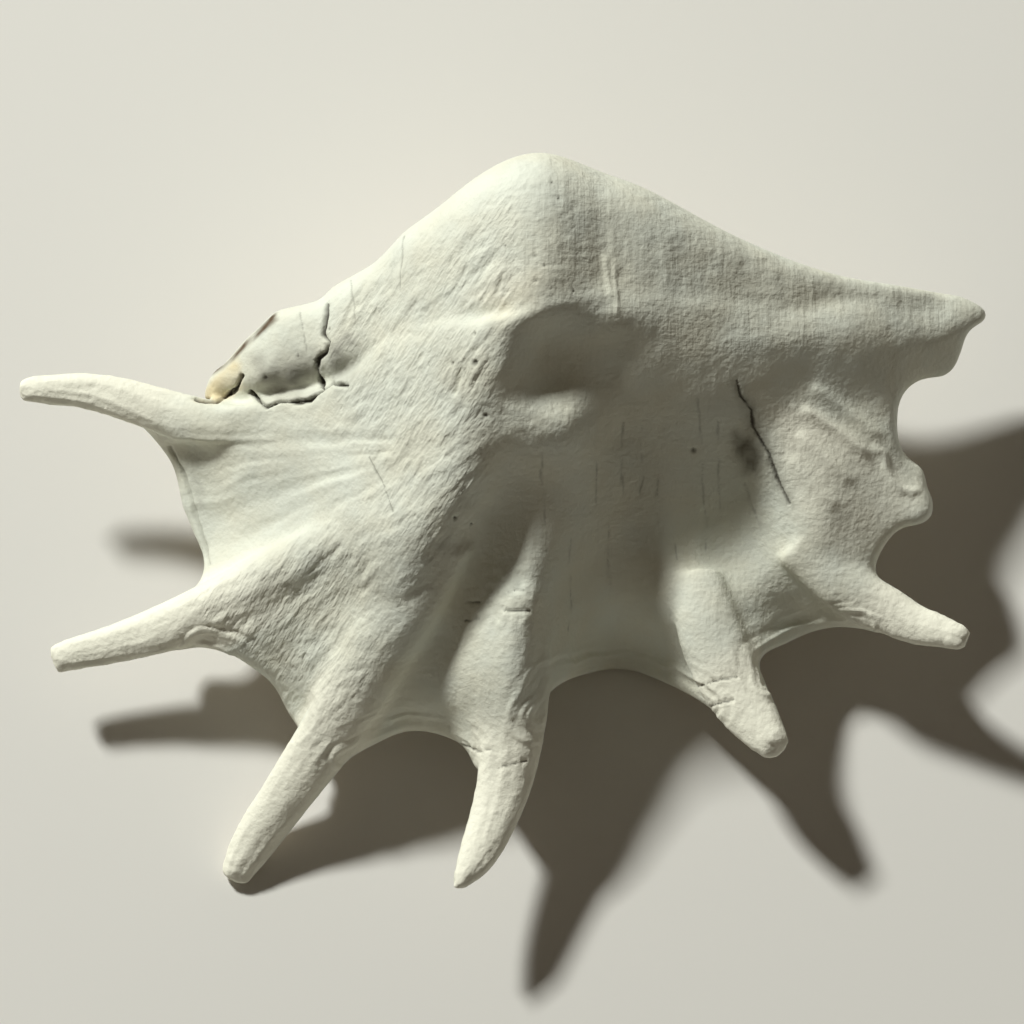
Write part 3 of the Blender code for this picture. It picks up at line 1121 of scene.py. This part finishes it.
@dataclass
class SpineSkin:
    """Lengthwise grooves, a worn end and a painted highlight on a finger spine."""

    spine: Tube
    groove: float = 0.35
    groove_length: float = 26.0
    ripple: float = 0.08
    ripple_length: float = 2.4
    wear: float = 0.5
    wear_size: float = 2.6
    wear_length: float = 14.0
    reach: float = 12.0
    thickest: Point = (11.0, 15.0)
    root: Point = (0.45, 0.7)
    seed: int = 70

    def work(self, skin: Skin) -> None:
        """Works the skin of the free part of the spine and paints it whiter as a painted highlight.

        Args:
            skin: The skin to work.
        """
        near = skin.near(self.spine.points, self.reach)
        points = skin.points[near]
        gap, place, centre = nearest_on(self.spine.points, points)
        length = self.spine.length()
        free = (1 - ramp(gap, *self.thickest)) * (1 - ramp(place / length, *self.root))
        out = (points - centre) / np.maximum(gap, 1e-6)[:, None]
        grooves = noise(out * 3.2 + (place / self.groove_length)[:, None], self.seed, 2)
        round_it = np.column_stack([place / self.ripple_length, out[:, 0], out[:, 2]])
        ripples = noise(round_it, self.seed + 3, 2)
        tip = 1 - ramp(place, 2.0, self.wear_length)
        worn = noise(points / self.wear_size, self.seed + 6, 2) * tip
        lift = self.groove * grooves + self.ripple * ripples + self.wear * worn
        skin.raise_by(near, free * lift)
        # painted highlight: the whole free part of the spine is painted whiter, standing in for the light
        # on it
        skin.mark(near, Mark.PAINTED_HIGHLIGHT, free)


@dataclass
class Nodes:
    """The node tree of a finish, as it grows."""

    tree: Tree
    first_colour: int = 6
    second_colour: int = 7
    mixed_colour: int = 2

    def feed(self, node: bpy.types.Node, inputs: dict[str | int, object]) -> None:
        """Links a socket to each of these inputs of a node, or sets it to a value.

        Args:
            node: The node.
            inputs: A socket or a value for each input's name or number.
        """
        for name, value in inputs.items():
            if isinstance(value, Socket):
                self.tree.links.new(value, node.inputs[name])
            else:
                node.inputs[name].default_value = value

    def add(self, kind: str, output: str | int, inputs: dict[str | int, object],
            **settings: object) -> Socket:
        """Adds a node.

        Args:
            kind: Its type, without the words that every shader node starts with.
            output: Which of its outputs is wanted.
            inputs: A socket or a value for each input that isn't left as it is.
            settings: Values of the node's own fields.

        Returns:
            The output.
        """
        node = self.tree.nodes.new("ShaderNode" + kind)
        for name, value in settings.items():
            setattr(node, name, value)
        self.feed(node, inputs)
        return node.outputs[output]

    def noise(self, place: Socket, scale: float, detail: float) -> Socket:
        """Adds a noise texture."""
        return self.add("TexNoise", "Fac", {"Vector": place, "Scale": scale, "Detail": detail})

    def math(self, operation: str, first: Socket, second: Socket | float) -> Socket:
        """Adds a sum or a product."""
        return self.add("Math", "Value", {0: first, 1: second}, operation=operation)

    def mark(self, mark: Mark) -> Socket:
        """Adds a reader of one of the skin's marks."""
        return self.add("Attribute", "Fac", {}, attribute_name=mark.value)

    def mix(self, factor: Socket, first: Socket | Point, second: Point) -> Socket:
        """Adds a mix of a colour or a tint with a second tint.

        Args:
            factor: How much of the second shows.
            first: A socket, or a tint of three numbers.
            second: A tint of three numbers.

        Returns:
            The mixed colour.
        """
        below = first if isinstance(first, Socket) else (*first, 1.0)
        colours = {0: factor, self.first_colour: below, self.second_colour: (*second, 1.0)}
        return self.add("Mix", self.mixed_colour, colours, data_type="RGBA")


@dataclass(frozen=True)
class Grain:
    """A fine directional grain that is too small to model, drawn where a mark says."""

    mark: Mark
    direction: float
    across: float
    along: float
    strength: float

    def drawn(self, nodes: Nodes, place: Socket) -> Socket:
        """Adds a noise that is stretched along the grain's direction.

        Args:
            nodes: The finish's nodes.
            place: Where on the shell.

        Returns:
            The noise's value.
        """
        turn = (0.0, 0.0, -math.radians(self.direction))
        turned = nodes.add("Mapping", "Vector", {"Vector": place, "Rotation": turn})
        long, short = 1 / (self.along * MM), 1 / (self.across * MM)
        scaled = nodes.add("Mapping", "Vector", {"Vector": turned, "Scale": (long, short, long)})
        return nodes.noise(scaled, 1.0, 2.0)


@dataclass(frozen=True)
class BleachedFinish:
    """Chalky sun-bleached shell outside, smoother and creamier in the mouth."""

    name: str = "bleached_shell"
    chalk: Point = (0.80, 0.80, 0.68)
    cool_white: Point = (0.80, 0.83, 0.74)
    # painted highlight: the whiter tint that the highlight mark lays over the chalk
    white: Point = (0.96, 0.95, 0.82)
    cream: Point = (0.82, 0.72, 0.48)
    grey: Point = (0.34, 0.335, 0.29)
    dirt: Point = (0.10, 0.088, 0.055)
    brown: Point = (0.10, 0.06, 0.03)
    groove: Point = (0.05, 0.043, 0.032)
    mouth: Point = (0.80, 0.66, 0.52)
    rough: float = 0.80
    mouth_rough: float = 0.30
    specular: float = 0.30
    relief: float = 0.0004
    cloud_noise: Point = (55.0, 5.0)
    cloud_range: Point = (0.35, 0.65)
    pore_noise: Point = (520.0, 4.0)
    grains: tuple[Grain, ...] = (
        Grain(Mark.SLOPE, 55.0, 1.1, 4.5, 1.3),
        Grain(Mark.SLOPE, 35.0, 1.4, 4.5, 0.7),
        Grain(Mark.WEAVE, 91.0, 0.9, 12.0, 0.4),
        Grain(Mark.WEAVE, 4.0, 0.9, 6.0, 0.35),
    )

    def tints(self) -> dict[Mark, Point]:
        """The tint of each colouring, the lowest one first."""
        return {Mark.PAINTED_HIGHLIGHT: self.white, Mark.GLAZE: self.mouth, Mark.CREAM: self.cream,
                Mark.GREY: self.grey, Mark.BROWN: self.brown, Mark.DIRT: self.dirt,
                Mark.GROOVE: self.groove}

    def material(self) -> bpy.types.Material:
        """Builds the node material.

        Returns:
            The finish, driven by the skin's marks and by noise in the shell's own space.
        """
        material = bpy.data.materials.new(self.name)
        material.use_nodes = True
        nodes = Nodes(material.node_tree)
        place = nodes.add("TexCoord", "Object", {})
        clouds = nodes.add("MapRange", "Result", {
            "Value": nodes.noise(place, *self.cloud_noise),
            "From Min": self.cloud_range[0], "From Max": self.cloud_range[1]})
        colour = nodes.mix(clouds, self.chalk, self.cool_white)
        for mark, tint in self.tints().items():
            colour = nodes.mix(nodes.mark(mark), colour, tint)
        rough = nodes.add("MapRange", "Result", {
            "Value": nodes.mark(Mark.GLAZE), "To Min": self.rough, "To Max": self.mouth_rough})
        height = nodes.noise(place, *self.pore_noise)
        for grain in self.grains:
            drawn = nodes.math("MULTIPLY", nodes.mark(grain.mark), grain.strength)
            drawn = nodes.math("MULTIPLY", drawn, grain.drawn(nodes, place))
            height = nodes.math("ADD", height, drawn)
        normal = nodes.add("Bump", "Normal", {
            "Strength": 1.0, "Distance": self.relief, "Height": height})
        nodes.feed(material.node_tree.nodes["Principled BSDF"], {
            "Specular IOR Level": self.specular, "Base Color": colour, "Roughness": rough,
            "Normal": normal})
        return material


@dataclass
class ConchShell:
    """The dressed shell: the blank, its relief and its finish."""

    finish: BleachedFinish
    pose: Pose
    name: str = "conch_shell"
    back: Back = field(default_factory=Back)
    body: BodyWhorl = field(default_factory=BodyWhorl)

    def reliefs(self, lip: Lip) -> list[object]:
        """All that is worked into the skin, in order."""
        spine_skins = [SpineSkin(spine, seed=70 + 10 * i) for i, spine in enumerate(SPINES)]
        return [*self.broad_forms(), *self.textures(lip), *self.spire_details(),
                *self.cracks_and_stains(), *spine_skins]

    @staticmethod
    def broad_forms() -> list[object]:
        """Swellings and ridges that are wider than the furrows.

        Returns:
            The reliefs, in order.
        """
        return [
            Swelling(9, 31, 9, 8, 1.2),
            Swelling(35, 62, 10, 7, 2.0),
            Swelling(34, 48, 8, 11, -2.4),
            Swelling(-88, 43, 5.5, 3.2, 1.6, 48),
            Welt([(31.5, 82), (32, 76), (33, 66)], 0.9, 0.6),
            Welt([(33.8, 80), (34.3, 70), (34.6, 62)], 0.8, 0.6),
            Welt([(29.5, 106), (30, 90), (30.6, 70)], 2.2, -0.35),
            Welt([(-108, 25), (-85, 24), (-66, 25)], 1.1, 0.7),
            Welt([(113, 23), (117.5, 20), (118, 16), (120.3, 11.3), (123, 8.8), (126, 8.2), (129, 9.1),
                  (131, 8)], 1.2, 0.9),
            Welt([(91, 35), (103, 27), (115, 18)], 1.7, 1.2),
            Welt([(94, 42), (106, 33), (118, 24)], 2.0, 1.0),
            Welt([(90, 27), (99, 19), (109, 10)], 2.0, 0.9),
            Welt([(88, 20), (95, 11), (104, 2)], 2.0, 0.8),
        ]

    @staticmethod
    def textures(lip: Lip) -> list[object]:
        """Furrows, growth wrinkles, lumps and the fine grain of each area.

        Args:
            lip: The lip, whose edge the wrinkles follow.

        Returns:
            The reliefs, in order.
        """
        upper_slope = Patch([(-58, 60), (-30, 88), (5, 105), (4, 62), (-6, 22), (-30, 20),
                             (-52, 32)], 7.0)
        lower_slope = Patch([(-60, 30), (-25, 35), (-4, 25), (-12, -5), (-30, -30), (-58, -78),
                             (-72, -52), (-98, -25), (-60, -2), (-36, 14)], 6.0)
        fan = Patch([(-100, 27), (-63, 26), (-36, 26), (-32, 15), (-54, 1), (-94, -20), (-99, 6)], 4.0)
        top = Patch([(-5, 118), (30, 112), (95, 78), (154, 70), (140, 60), (60, 48), (32, 60),
                     (0, 68)], 5.0)
        flank = Patch([(0, 70), (30, 70), (62, 50), (90, 40), (95, -10), (50, -45), (10, -60),
                       (-30, -55), (-28, -20), (-3, 20)], 5.0)
        knob = Patch([(-2, 39), (6, 43), (17, 38), (20, 31), (17, 22), (8, 20), (-2, 25)], 2.5)
        rib_top = Patch([(-6, -14), (9, -12), (11, -34), (-12, -36)], 3.0)
        whole = Patch([(-160, -125), (160, -125), (160, 125), (-160, 125)], 1.0)
        webs = [lip.outline[14:19], lip.outline[23:28], lip.outline[31:37], lip.outline[39:44]]
        return [
            Lumps(whole, 17.0, 0.5, 3),
            Lumps(whole, 5.0, 0.16, 4),
            Furrows(upper_slope, 57.0, 2.2, 9.0, 0.75, 11, 0.40),
            Furrows(upper_slope, 40.0, 3.4, 9.0, 0.55, 12),
            Furrows(lower_slope, 48.0, 1.9, 7.0, 0.55, 16, 0.32),
            Furrows(lower_slope, 30.0, 2.6, 7.0, 0.34, 17),
            Fan(fan, -12, 25, 4.0, 45.0, 1.2, 18),
            Furrows(top, 94.0, 1.9, 16.0, 0.20, 13, 0.05),
            Furrows(top, 8.0, 1.6, 9.0, 0.18, 14, 0.05),
            Furrows(flank, 88.0, 2.4, 30.0, 0.18, 15),
            *(GrowthLines(web, 1.7, 0.75, 15.0, 21 + 7 * i) for i, web in enumerate(webs)),
            Lumps(knob, 2.2, 0.25, 31),
            Lumps(rib_top, 2.2, 0.5, 32),
            StainAndHighlight(upper_slope, Mark.GREY, 0.16, 6.0, 65),
            StainAndHighlight(lower_slope, Mark.GREY, 0.20, 4.0, 66),
            StainAndHighlight(fan, Mark.GREY, 0.12, 7.0, 67),
            StainAndHighlight(top, Mark.GREY, 0.10, 7.0, 68),
            StainAndHighlight(upper_slope, Mark.SLOPE, 1.0, 30.0, 61),
            StainAndHighlight(lower_slope, Mark.SLOPE, 1.0, 30.0, 62),
            StainAndHighlight(top, Mark.WEAVE, 1.0, 12.0, 63),
            StainAndHighlight(flank, Mark.WEAVE, 0.6, 12.0, 64),
        ]

    @staticmethod
    def spire_details() -> list[object]:
        """The broken spire: sutures, the cream fragment, the brown remnant and grey shading.

        Returns:
            The reliefs, in order.
        """
        fragment = Patch([(-96, 36.5), (-90, 42), (-84, 49), (-81.5, 48), (-80.5, 40), (-85, 37),
                          (-90, 35.5)], 1.0)
        remnant = Patch([(-93, 42), (-88, 50), (-82, 57), (-71, 65), (-70, 61.5), (-79, 54),
                         (-86, 46.5)], 0.8)
        lobe = Patch([(-79, 50), (-74, 37), (-64, 37), (-57, 42), (-57, 52), (-68, 53)], 4.0)
        shoulder = Patch([(-55, 54), (-53, 42), (-46, 44), (-44, 54), (-49, 58)], 3.0)
        return [
            Crack([(-55, 66), (-55.5, 61.5), (-56, 57), (-54, 54.5), (-55, 51.5), (-58, 49),
                   (-57.5, 44.5), (-56, 40.5)], 0.8, 1.6),
            Crack([(-95, 37), (-89, 36), (-83, 40), (-81.3, 44)], 0.8, 1.6),
            Crack([(-78.5, 39), (-76, 37), (-73.5, 34.5), (-69.5, 36.5), (-65, 36), (-60.5, 36.5),
                   (-57, 39.5), (-53, 42), (-48.5, 41)], 0.9, 1.8),
            *(Crack(line, 0.35, 0.25, 0.35) for line in (
                [(-47.5, 73.6), (-46.6, 66), (-45.6, 59.4)],
                [(-30.7, 87), (-32, 75.8), (-32.2, 70.5)],
                [(-63.2, 63.7), (-61, 51.6)],
            )),
            StainAndHighlight(fragment, Mark.CREAM, 0.9, 6.0, 52),
            StainAndHighlight(remnant, Mark.BROWN, 0.95, 3.0, 53),
            StainAndHighlight(lobe, Mark.GREY, 0.85, 5.0, 54),
            StainAndHighlight(shoulder, Mark.GREY, 0.75, 4.0, 55),
            Swelling(-75, 44, 5.0, 3.0, 1.3, 70), Swelling(-65, 43, 6.0, 3.5, 1.2, 95),
            Swelling(-52, 50, 7.0, 3.0, 1.0, 90), Swelling(-70, 40, 2.0, 6.0, -1.0, 90),
            Pit(-73.5, 44, 0.9, 0.4), Pit(-54, 58.8, 0.6, 0.3), Pit(-63.8, 50.4, 0.8, 0.3),
        ]

    @staticmethod
    def cracks_and_stains() -> list[object]:
        """Pits, cracks, dark lines and stains of the back and the lip, with painted highlights on the knob
        top and two strips.

        Returns:
            The reliefs, in order.
        """
        cream_and_highlight_knob = Patch([(-10, 68), (-2, 78), (12, 76), (10, 66), (-1, 60)], 6.0)
        highlight_strips = Patch([(84, 34), (96, 34), (128, 12), (132, 2), (108, -14), (88, 4)], 4.0)
        dark_line = [(72, 42.5), (73, 38), (76.5, 33.5), (77, 28.5), (82, 20), (84.5, 12.5), (88.5, 4.5)]
        blob = Patch([(71, 27), (76, 26), (80, 20), (80, 14), (74, 14), (71, 20)], 2.5)
        hairs = [
            [(28, 33.5), (28.6, 5)], [(36.6, 29.5), (37, 4.5)], [(42.5, 27.7), (42.6, 8)],
            [(47.4, 12), (48, -8)], [(20.2, -6.5), (20.6, -34.5)], [(53, -3), (53.4, -13)],
            [(60.4, 38.6), (61.5, 5.5), (63, -10)], [(74.7, 11), (80, -4.5)], [(12, 20), (12.6, -10)],
            [(66, 30), (67, 0)], [(32, 2), (32.5, -20)],
        ]
        cuts = [
            [(1.2, -22.5), (6.2, -22.3)], [(-12.7, -26.2), (-7.4, -26)], [(0.3, -28.4), (8, -28.4)],
            [(-12, -31.5), (-7.4, -31.3)], [(-15, -69), (-8, -72), (-3, -71)], [(-2, -77), (7, -75)],
            [(60, -52), (66, -50), (72, -49)], [(64, -58), (71, -56)],
        ]
        band = [(-103.5, 22), (-99, 13), (-95.6, 3), (-93.6, -6), (-91.5, -14)]
        pits = [
            (0.3, 84, 0.7, 0.6), (12.7, 78, 0.7, 0.6), (9.5, 81, 0.7, 0.6), (9.6, 73.3, 0.7, 0.6),
            (14.9, 103.7, 0.6, 0.4), (17, 98.7, 0.6, 0.4), (21.4, 70, 0.7, 0.5), (-9, 57, 0.7, 0.5),
            (-16, 48, 0.7, 0.5), (-9, 48, 1.5, 0.9), (-5.6, 31.8, 1.1, 0.6), (-15, 0, 0.9, 0.6),
            (-10, -1.7, 0.6, 0.4), (58.6, 21, 1.2, 0.4),
        ]
        return [
            Crack(dark_line, 0.6, 0.6, 0.85),
            StainAndHighlight(Patch([(x + dx, y) for dx, side in ((-1.5, dark_line), (1.5, dark_line[::-1]))
                         for x, y in side], 2.0), Mark.DIRT, 0.55, 1.4, 51),
            StainAndHighlight(blob, Mark.DIRT, 0.85, 3.2, 56),
            *(Crack(line, 0.45, 0.12, 0.42, True) for line in hairs),
            *(Crack(line, 0.35, 0.5, 0.6) for line in cuts),
            Crack([(-41.5, 18.8), (-37, 10), (-34.4, 2)], 0.35, 0.3, 0.5),
            Crack(band, 0.9, 0.8, 0.25),
            StainAndHighlight(Patch([(-97, 14), (-94, 12), (-92, 4), (-94, 3)], 1.5), Mark.GREY, 0.6, 3.0, 57),
            StainAndHighlight(cream_and_highlight_knob, Mark.CREAM, 0.20, 5.0, 58),
            # painted highlight on the knob top; the cream tint on the line above is the shell's own colour
            StainAndHighlight(cream_and_highlight_knob, Mark.PAINTED_HIGHLIGHT, 1.0, 30.0, 59),
            # painted highlight: two lit growth ridges beside the notch painted whiter
            StainAndHighlight(highlight_strips, Mark.PAINTED_HIGHLIGHT, 1.0, 30.0, 60),
            Welt([(-15.5, 37.2), (-12.7, 47.4)], 0.9, -0.8),
            *(Pit(*pit) for pit in pits),
        ]

    def build(self) -> Object:
        """Makes the whole shell and puts it where the frame has it.

        Returns:
            The shell's object, which stands for the frame's node.
        """
        lip = Lip(self.back, self.pose.tilt)
        hollow = Hollow(self.back, self.body.axis)
        blank = Blank(self.body, lip, SPINES, hollow, CANAL_GROOVE)
        shell = blank.build()
        LOG.info("blank: %d points, %d faces", len(shell.data.vertices), len(shell.data.polygons))
        skin = Skin(read_points(shell.data), read_normals(shell.data))
        self.pose.settle(skin.points)
        for relief in self.reliefs(lip):
            relief.work(skin)
        self.glaze(skin)
        write_points(shell.data, skin.worked_points())
        for mark, values in skin.marks.items():
            layer = shell.data.attributes.new(mark.value, "FLOAT", "POINT")
            layer.data.foreach_set("value", values.astype(np.float32))
        shell = blank.thinned(shell)
        write_points(shell.data, self.pose.placed(read_points(shell.data)))
        shell.name = self.name
        shell.data.materials.clear()
        shell.data.materials.append(self.finish.material())
        shell.data.shade_smooth()
        return shell

    @staticmethod
    def glaze(skin: Skin) -> None:
        """Gives the underside and the mouth their smoother, creamier finish, in patches.

        Args:
            skin: The skin to mark.
        """
        patch_size = 22.0
        below = 1 - ramp(skin.normals[:, 2], -0.55, -0.05)
        patchy = 0.55 + 0.35 * noise(skin.points / patch_size, 91, 2)
        skin.marks[Mark.GLAZE] = below * patchy


@dataclass
class Studio:
    """A plain pale floor, a soft key light from the upper left, a weak fill and the camera."""

    pose: Pose
    pixel: float = 0.31
    picture: int = 1024
    centre: Point = (504.0, 518.5)
    lens_level: float = 45.0
    camera_distance: float = 10.0
    sensor: float = 36.0
    towards_light: Point = (-0.45, 0.70, 0.50)
    light_distance: float = 4.0
    light_size: float = 0.5
    light_power: float = 168.0
    light_colour: Point = (0.99, 1.0, 0.94)
    fill: Point = (0.078, 0.066, 0.050)
    floor_colour: Point = (0.78, 0.77, 0.74)
    floor_size: float = 16.0

    def build(self) -> None:
        """Lays the floor, hangs the light and sets the camera."""
        self.floor()
        self.light()
        self.camera()
        scene = bpy.context.scene
        scene.view_settings.view_transform = "Standard"
        world = bpy.data.worlds.new("fill")
        world.use_nodes = True
        backdrop = world.node_tree.nodes["Background"]
        backdrop.inputs["Color"].default_value = (*self.fill, 1.0)
        backdrop.inputs["Strength"].default_value = 1.0
        scene.world = world

    def floor(self) -> None:
        """A matt floor at the shell's feet."""
        bpy.ops.mesh.primitive_plane_add(size=self.floor_size, location=(0, 0, 0))
        floor = bpy.context.object
        floor.name = "studio_floor"
        material = bpy.data.materials.new("pale_floor")
        material.use_nodes = True
        shader = material.node_tree.nodes["Principled BSDF"]
        shader.inputs["Base Color"].default_value = (*self.floor_colour, 1.0)
        shader.inputs["Roughness"].default_value = 0.9
        floor.data.materials.append(material)

    def direction(self, direction: Point) -> Vector:
        """A direction of the shell's plan, as the shell lies."""
        return Vector(self.pose.tipped(np.array([direction]))[0]).normalized()

    def light(self) -> None:
        """A square key light that faces the shell."""
        lamp = bpy.data.lights.new("key", "AREA")
        lamp.size = self.light_size
        lamp.energy = self.light_power
        lamp.color = self.light_colour
        key = add_object("key", lamp)
        towards = self.direction(self.towards_light)
        key.location = towards * self.light_distance
        key.rotation_mode = "QUATERNION"
        key.rotation_quaternion = towards.to_track_quat("Z", "Y")

    def camera(self) -> None:
        """A long lens that looks square onto the shell's plan, framed as the photograph is."""
        lens = bpy.data.cameras.new("camera")
        lens.sensor_width = self.sensor
        lens.lens = self.sensor * self.camera_distance / (self.picture * self.pixel * MM)
        lens.clip_end = 2 * self.camera_distance
        camera = add_object("camera", lens)
        half = self.picture / 2
        aim = np.array([[(half - self.centre[0]) * self.pixel, (self.centre[1] - half) * self.pixel,
                         self.lens_level]])
        aim = (self.pose.tipped(aim)[0] + self.pose.shift) * MM
        camera.location = Vector(aim) + self.direction((0.0, 0.0, 1.0)) * self.camera_distance
        camera.rotation_euler = (math.radians(self.pose.tilt), 0.0, 0.0)
        bpy.context.scene.camera = camera


def main() -> None:
    """Builds the dressed shell and the studio, and reports each piece."""
    logging.basicConfig(level=logging.INFO, format="%(name)s: %(message)s")
    pose = Pose()
    shell = ConchShell(BleachedFinish(), pose).build()
    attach(shell, "root")
    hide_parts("shell")
    LOG.info("%s: %d points, %d faces", shell.name, len(shell.data.vertices), len(shell.data.polygons))
    Studio(pose).build()
    LOG.info("studio: floor, key light and camera")


if __name__ == "__main__":
    main()
